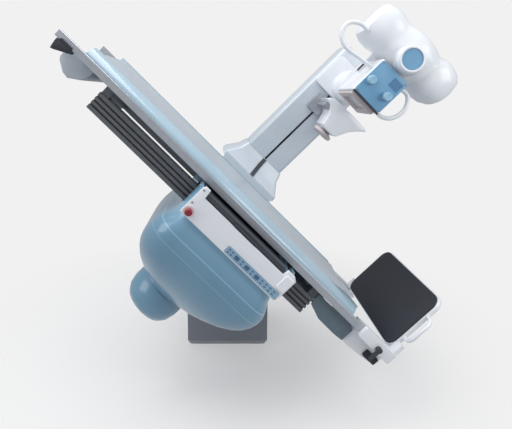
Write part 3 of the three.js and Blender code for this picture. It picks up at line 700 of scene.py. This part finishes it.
def piece(name: str, bm: bmesh.types.BMesh, finish: str, body: str, paint: Paintshop,
          smooth: bool = True) -> bpy.types.Object:
    """A finished piece from a bmesh.

    Args:
        name: object name.
        bm: the mesh in the row frame, freed here.
        finish: key in FINISHES.
        body: CAD body that it rides on.
        paint: gives the material.
        smooth: whether its faces are shaded smooth.

    Returns:
        The object.
    """
    bmesh.ops.recalc_face_normals(bm, faces=bm.faces)
    mesh = bpy.data.meshes.new(name)
    bm.to_mesh(mesh)
    bm.free()
    for polygon in mesh.polygons:
        polygon.use_smooth = smooth
    mesh.materials.append(paint.material(finish))
    obj = bpy.data.objects.new(name, mesh)
    bpy.context.scene.collection.objects.link(obj)
    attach(obj, body)
    LOG.info("%s rides on %s", name, body)
    return obj


def ring_band(centre: Vector, inner: float, outer: float, front: float, back: float,
              flare: float = 0.0, turns: int = 64) -> bmesh.types.BMesh:
    """A flat ring about the Y axis with softened rims.

    Args:
        centre: centre, in metres.
        inner: inner radius.
        outer: outer radius.
        front: Y offset of the front face.
        back: Y offset of the back face.
        flare: how much wider the back is than the front.
        turns: points around.

    Returns:
        The ring's mesh.
    """
    soft = min(outer - inner, back - front) * 0.25
    section = ((inner, back), (inner, front + soft), (inner + soft, front), (outer - soft, front),
               (outer, front + soft), (outer + flare, back))
    bm = bmesh.new()
    loops = [[bm.verts.new(centre + Vector((r * math.cos(t), y, r * math.sin(t))))
              for t in (2 * math.pi * i / turns for i in range(turns))] for r, y in section]
    loop_faces(bm, loops, closed=True)
    return bm


@dataclass(frozen=True)
class Lamp:
    """A soft square area lamp.

    Attributes:
        name: lamp name.
        place: where it stands, in metres.
        size: edge of the square, in metres.
        watts: its power.
    """

    name: str
    place: tuple[float, float, float]
    size: float
    watts: float


LAMPS = (
    Lamp("overhead", (-0.6, -0.9, 4.2), 3.4, 105.0),
    Lamp("left_soft", (-3.4, -2.4, 2.6), 2.4, 40.0),
    Lamp("right_soft", (3.2, -2.8, 2.2), 2.2, 52.0),
)


@dataclass
class Studio:
    """Camera, lights and floor, from the fitted photograph camera."""

    eye: Vector = field(default_factory=lambda: Vector((-0.0363, -2.903, 1.634)))
    pitch_deg: float = 8.0
    focal_px: float = 434.0
    frame_px: tuple[int, int] = (512, 429)
    centre_px: tuple[float, float] = (222.0, 155.0)
    backdrop: Colour = srgb(241, 241, 241)
    sensor_mm: float = 36.0
    clip_end: float = 60.0
    aim: Vector = field(default_factory=lambda: Vector((0.0, -0.6, 0.9)))
    sky: Colour = (0.86, 0.88, 0.92)
    sky_strength: float = 0.52
    floor_colour: Colour = (0.88, 0.88, 0.88)
    floor_radius: float = 9.0
    floor_sink: float = 0.0005
    fade_near: float = 0.5
    fade_far: float = 2.2
    fade_least: float = 0.3

    def build(self) -> None:
        """Makes the camera, the lamps, the world and the floor."""
        self._camera()
        self._lamps()
        self._world()
        self._floor()

    def _camera(self) -> None:
        """Sets the camera at the photograph's viewpoint."""
        width, height = self.frame_px
        data = bpy.data.cameras.new("photo_camera")
        data.sensor_width = self.sensor_mm
        data.lens = self.sensor_mm * self.focal_px / width
        data.shift_x = (width / 2 - self.centre_px[0]) / width
        data.shift_y = (self.centre_px[1] - height / 2) / width
        data.clip_end = self.clip_end
        camera = bpy.data.objects.new("photo_camera", data)
        camera.location = self.eye
        camera.rotation_euler = (math.radians(90.0 - self.pitch_deg), 0.0, 0.0)
        bpy.context.scene.collection.objects.link(camera)
        bpy.context.scene.camera = camera

    def _lamps(self) -> None:
        """Soft overhead and side light."""
        for spec in LAMPS:
            data = bpy.data.lights.new(spec.name, "AREA")
            data.size = spec.size
            data.energy = spec.watts
            lamp = bpy.data.objects.new(spec.name, data)
            lamp.location = spec.place
            lamp.rotation_euler = (self.aim - Vector(spec.place)).to_track_quat("-Z", "Y").to_euler()
            bpy.context.scene.collection.objects.link(lamp)

    def _world(self) -> None:
        """Even light, with the photograph's backdrop for camera rays and those that pass the floor."""
        world = bpy.data.worlds.new("studio")
        world.use_nodes = True
        n, link = world.node_tree.nodes, world.node_tree.links.new
        plain = n["Background"]
        plain.inputs["Color"].default_value = (*self.sky, 1.0)
        plain.inputs["Strength"].default_value = self.sky_strength
        shown = n.new("ShaderNodeBackground")
        shown.inputs["Color"].default_value = (*self.backdrop, 1.0)
        rays = n.new("ShaderNodeLightPath")
        either = n.new("ShaderNodeMath")
        either.operation = "MAXIMUM"
        mix = n.new("ShaderNodeMixShader")
        link(rays.outputs["Is Camera Ray"], either.inputs[0])
        link(rays.outputs["Is Transmission Ray"], either.inputs[1])
        link(either.outputs["Value"], mix.inputs["Fac"])
        link(plain.outputs["Background"], mix.inputs[1])
        link(shown.outputs["Background"], mix.inputs[2])
        link(mix.outputs["Shader"], n["World Output"].inputs["Surface"])
        bpy.context.scene.world = world

    def _floor(self) -> None:
        """A round pale floor that fades into the backdrop."""
        bm = bmesh.new()
        bmesh.ops.create_circle(bm, cap_ends=True, segments=96, radius=self.floor_radius)
        mesh = bpy.data.meshes.new("studio_floor")
        bm.to_mesh(mesh)
        bm.free()
        floor = bpy.data.objects.new("studio_floor", mesh)
        floor.location = (0.0, 0.0, -self.floor_sink)
        mat = bpy.data.materials.new("floor_pale")
        mat.use_nodes = True
        n, link = mat.node_tree.nodes, mat.node_tree.links.new
        shader = n["Principled BSDF"]
        shader.inputs["Base Color"].default_value = (*self.floor_colour, 1.0)
        shader.inputs["Roughness"].default_value = 0.9
        shader.inputs["Specular IOR Level"].default_value = 0.1
        clear = n.new("ShaderNodeBsdfTransparent")
        coords = n.new("ShaderNodeTexCoord")
        far = n.new("ShaderNodeVectorMath")
        far.operation = "LENGTH"
        fade = n.new("ShaderNodeMapRange")
        fade.interpolation_type = "SMOOTHSTEP"
        fade.inputs["From Min"].default_value = self.fade_near
        fade.inputs["From Max"].default_value = self.fade_far
        fade.inputs["To Min"].default_value = self.fade_least
        mix = n.new("ShaderNodeMixShader")
        link(coords.outputs["Object"], far.inputs[0])
        link(far.outputs["Value"], fade.inputs["Value"])
        link(fade.outputs["Result"], mix.inputs["Fac"])
        link(shader.outputs["BSDF"], mix.inputs[1])
        link(clear.outputs["BSDF"], mix.inputs[2])
        link(mix.outputs["Shader"], n["Material Output"].inputs["Surface"])
        mesh.materials.append(mat)
        bpy.context.scene.collection.objects.link(floor)


@dataclass
class CadDresser:
    """Gives every CAD node its finish and smooth shading."""

    frame: dict
    paint: Paintshop
    smoother: EdgeSmoother = field(default_factory=EdgeSmoother)

    def dress(self) -> None:
        """Assigns materials node by node."""
        for finish, names in NODE_FINISH.items():
            for name in names:
                obj = self.frame["nodes"][name]
                obj.data.materials.clear()
                obj.data.materials.append(self.paint.material(finish))
                self.smoother.apply_to(obj)
        LOG.info("dressed %d nodes", sum(len(v) for v in NODE_FINISH.values()))


def screws(points: list[Vector], facing: Vector, radius: float) -> StampRow:
    """A row of steel screws.

    Args:
        points: seats, in metres.
        facing: the way that the heads look.
        radius: head radius in metres.

    Returns:
        The row.
    """
    return StampRow(points, facing, (2 * radius,) * 3)


@dataclass(frozen=True)
class Seat:
    """Where a flat plate lies.

    Attributes:
        middle: its middle, in metres.
        wide: unit vector along its width.
        long: unit vector along its length, so that wide x long looks out of the surface.
        half_width: half its width, in metres.
        half_length: half its length, in metres.
    """

    middle: Vector
    wide: Vector
    long: Vector
    half_width: float
    half_length: float


def plate(seat: Seat, thick: float, cut: float) -> bmesh.types.BMesh:
    """A flat plate with cut corners and a softened face.

    Args:
        seat: where it lies and its size.
        thick: its thickness, in metres.
        cut: how much of each corner is cut off.

    Returns:
        The plate's mesh.
    """
    w, h = seat.half_width, seat.half_length
    out = seat.wide.cross(seat.long)
    low_side = ((-w, cut - h), (cut - w, -h), (w - cut, -h), (w, cut - h))
    outline = low_side + tuple((-x, -z) for x, z in low_side)
    soft = thick * 0.5
    bm = bmesh.new()
    loops = []
    for inset, lift in ((0.0, 0.0), (0.0, thick - soft), (soft, thick)):
        wide = seat.wide * (1 - inset / w)
        long = seat.long * (1 - inset / h)
        loops.append([bm.verts.new(seat.middle + wide * x + long * z + out * lift) for x, z in outline])
    loop_faces(bm, loops)
    return bm


@dataclass
class BackTrim:
    """Service covers that the photograph hides: on the pedestal's back and on the column's back."""

    paint: Paintshop
    stamps: StampSetter
    pedestal_back: float = 0.240
    column_back: float = 700.0
    column_a: float = -100.0
    column_b: float = 855.0
    thick: float = 0.003
    door_height: float = 0.45
    slat_low: float = 0.12
    slat_pitch: float = 0.018
    slat_rows: int = 8
    slat_x: tuple[float, ...] = (-0.07, 0.07)
    door_screw_x: tuple[float, ...] = (-0.172, 0.172)
    door_screw_z: tuple[float, ...] = (-0.3, 0.0, 0.3)
    cover_screw_a: tuple[float, ...] = (-0.09, 0.09)
    cover_screw_b: tuple[float, ...] = (-0.365, -0.12, 0.12, 0.365)

    def build(self) -> None:
        """Makes the pieces."""
        door_at = Vector((0.0, self.pedestal_back, self.door_height))
        door = Seat(door_at, Vector((-1, 0, 0)), Vector((0, 0, 1)), 0.19, 0.32)
        door_plate = plate(door, self.thick, 0.02)
        piece("pedestal_door", door_plate, "dark_enamel", "pedestal", self.paint, smooth=False)
        door_face = door_at + AWAY * self.thick
        rim = [door_face + Vector((x, 0.0, z)) for x in self.door_screw_x for z in self.door_screw_z]
        self.stamps.set_row("pedestal_door_screws", "pedestal", screws(rim, AWAY, 0.006))
        rises = [self.slat_low + self.slat_pitch * i for i in range(self.slat_rows)]
        slats = [door_face + Vector((x, 0.0, z)) for z in rises for x in self.slat_x]
        level = [Vector((1, 0, 0))] * len(slats)
        self.stamps.set_row("pedestal_vents", "pedestal", StampRow(
            slats, AWAY, (0.11, 0.007, 0.0015), StampShape.TILE, "dark_plastic", level))
        cover_at = AXES.point(self.column_a, self.column_back, self.column_b)
        cover = Seat(cover_at, AXES.up, AXES.along, 0.385, 0.105)
        cover_plate = plate(cover, self.thick, 0.015)
        piece("column_back_cover", cover_plate, "pale_enamel", "imaging_carriage", self.paint, smooth=False)
        seats = [cover_at + AXES.up * b + AXES.along * a + AWAY * self.thick
                 for b in self.cover_screw_b for a in self.cover_screw_a]
        self.stamps.set_row("column_cover_screws", "imaging_carriage", screws(seats, AWAY, 0.005))


@dataclass
class PodTrim:
    """Small trim of the imaging pod and its column: screws, key marks, panel cap and slot stop."""

    paint: Paintshop
    stamps: StampSetter
    axis_a: float = -68.0
    panel_front: float = -492.0
    strip_front: float = -494.0
    strip_start: float = -102.0
    strip_b: float = 77.0
    mark_steps: tuple[float, ...] = (16, 34, 94, 154, 214, 238, 262, 286)
    mark_rows: tuple[float, ...] = (-7, 7)
    panel_screws: tuple[tuple[float, float], ...] = ((-278, 190), (-278, 118), (276, 66))
    side_offset: float = -293.0
    side_b: float = 110.0
    side_screws: tuple[float, ...] = (-390.0, -170.0)
    cap_offset: float = 260.0
    cap_b: float = 140.5
    column_a: float = -95.0
    slot_slope: tuple[tuple[float, float], ...] = (
        (304.0, 372.0), (336.0, 395.0), (376.0, 427.0), (428.0, 443.0))
    stop_half: float = 13.0
    stop_thick: float = 6.0
    stop_soft: float = 2.0

    def build(self) -> None:
        """Makes the pieces."""
        seats = [AXES.point(self.axis_a + a, self.panel_front, b) for a, b in self.panel_screws]
        self.stamps.set_row("pod_panel_screws", "imaging_carriage", screws(seats, TO_VIEWER, 0.0045))
        side = [AXES.point(self.axis_a + self.side_offset, y, self.side_b) for y in self.side_screws]
        self.stamps.set_row("pod_side_screws", "imaging_carriage", screws(side, -AXES.along, 0.006))
        marks = [AXES.point(self.strip_start + a, self.strip_front, self.strip_b + row)
                 for a in self.mark_steps for row in self.mark_rows]
        self.stamps.set_row("strip_marks", "imaging_carriage",
                            StampRow(marks, TO_VIEWER, (0.010, 0.006, 0.0008), StampShape.TILE, "key_mark"))
        self._panel_cap()
        self._slot_stop()

    def _panel_cap(self) -> None:
        """Raised cap on the panel's foot end."""
        middle = AXES.point(self.axis_a + self.cap_offset, self.panel_front, self.cap_b)
        cap = plate(Seat(middle, AXES.along, AXES.up, 0.024, 0.0375), 0.006, 0.006)
        piece("panel_cap", cap, "white_gloss", "imaging_carriage", self.paint, smooth=False)

    def _slot_stop(self) -> None:
        """Dark stop that closes the low end of the column's slot, laid on the base's slope."""
        bm = bmesh.new()
        loops = []
        edge, soft, thick = -self.stop_half, self.stop_soft, self.stop_thick
        for b, y in self.slot_slope:
            half = ((edge, y), (edge, y - thick + soft), (edge + soft, y - thick))
            ring = half + tuple((-a, front) for a, front in reversed(half))
            loops.append([bm.verts.new(AXES.point(self.column_a + a, front, b)) for a, front in ring])
        loop_faces(bm, loops)
        piece("slot_stop", bm, "dark_plastic", "imaging_carriage", self.paint, smooth=False)


@dataclass
class HeadTrim:
    """Trim of the tube head: badge ring and cup, screws, knob ticks, display bars, latch and gasket."""

    paint: Paintshop
    stamps: StampSetter
    centre_a: float = -56.0
    panel_front: float = -150.0
    badge_front: float = -184.0
    badge_b: float = 1275.0
    ring_outer: float = 0.062
    ring_seam: float = -0.0004
    ring_bore: float = 0.0515
    ring_rise: float = -0.005
    cup_bore: float = 0.0566
    cup_depth: float = 0.045
    cup_flare: float = 0.014
    screw_half: float = 76.0
    screw_b: tuple[float, ...] = (1008.0, 1183.0)
    bar_a: tuple[float, ...] = (-29.0, -12.0, 5.0)
    bar_b: tuple[float, ...] = (1136.0, 1157.0)
    gasket_half: float = 86.0
    gasket_b: tuple[float, float] = (988.0, 997.0)
    gasket_depth: tuple[float, float] = (-1.0, 9.5)
    latch_at: tuple[float, float, float] = (-89.0, 120.0, 1162.0)
    tick_radius: float = 0.0245
    knobs: tuple[tuple[float, float], ...] = ((-116.0, 1081.3), (-4.0, 1079.3))
    tick_deg: tuple[float, ...] = (-70.0, -35.0, 0.0, 35.0, 70.0)

    def build(self) -> None:
        """Makes the pieces."""
        at = AXES.point(self.centre_a, self.badge_front, self.badge_b)
        cup = ring_band(at, self.cup_bore, self.ring_outer, self.ring_seam, self.cup_depth, self.cup_flare)
        piece("badge_cup", cup, "white_gloss", "tube_head", self.paint)
        rim = ring_band(at, self.ring_bore, self.ring_outer, self.ring_rise, self.ring_seam)
        piece("badge_ring", rim, "white_gloss", "tube_head", self.paint)
        seats = [AXES.point(self.centre_a + a, self.panel_front, b)
                 for b in self.screw_b for a in (-self.screw_half, self.screw_half)]
        self.stamps.set_row("collimator_screws", "tube_head", screws(seats, TO_VIEWER, 0.004))
        self._ticks()
        self._gasket()
        a, y, b = self.latch_at
        latch = Seat(AXES.point(self.centre_a + a, y, b), AXES.up, AWAY, 0.028, 0.009)
        piece("side_latch", plate(latch, 0.008, 0.003), "dark_plastic", "tube_head", self.paint, smooth=False)
        bars = [AXES.point(a, self.panel_front + 1.0, b) for a in self.bar_a for b in self.bar_b]
        self.stamps.set_row("display_bars", "tube_head",
                            StampRow(bars, TO_VIEWER, (0.011, 0.003, 0.0005), StampShape.TILE, "key_mark"))

    def _gasket(self) -> None:
        """Dark strip under the panel, where the beam window's frame meets the collimator."""
        bm = bmesh.new()
        half, (low, high) = self.gasket_half, self.gasket_b
        front, back = (self.panel_front + depth for depth in self.gasket_depth)
        section = ((front, low), (front, high), (back, high), (back, low))
        loops = [[bm.verts.new(AXES.point(self.centre_a + end, y, b)) for y, b in section]
                 for end in (-half, half)]
        loop_faces(bm, loops)
        piece("window_gasket", bm, "black_rubber", "tube_head", self.paint, smooth=False)

    def _ticks(self) -> None:
        """Plain scale marks around both knobs."""
        points, ways = [], []
        for a, b in self.knobs:
            for angle in map(math.radians, self.tick_deg):
                out = AXES.along * math.sin(angle) + AXES.up * math.cos(angle)
                points.append(AXES.point(a, self.panel_front, b) + out * self.tick_radius)
                ways.append(out)
        self.stamps.set_row("knob_ticks", "tube_head", StampRow(
            points, TO_VIEWER, (0.004, 0.0014, 0.0005), StampShape.TILE, "white_moulding", ways))


def main() -> None:
    """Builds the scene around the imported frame."""
    logging.basicConfig(level=logging.INFO, format="%(message)s")
    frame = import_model()
    bpy.context.scene.view_settings.view_transform = "Standard"
    Studio().build()
    paint = Paintshop()
    stamps = StampSetter(paint)
    CadDresser(frame, paint).dress()
    PodTrim(paint, stamps).build()
    HeadTrim(paint, stamps).build()
    BackTrim(paint, stamps).build()


if __name__ == "__main__":
    main()
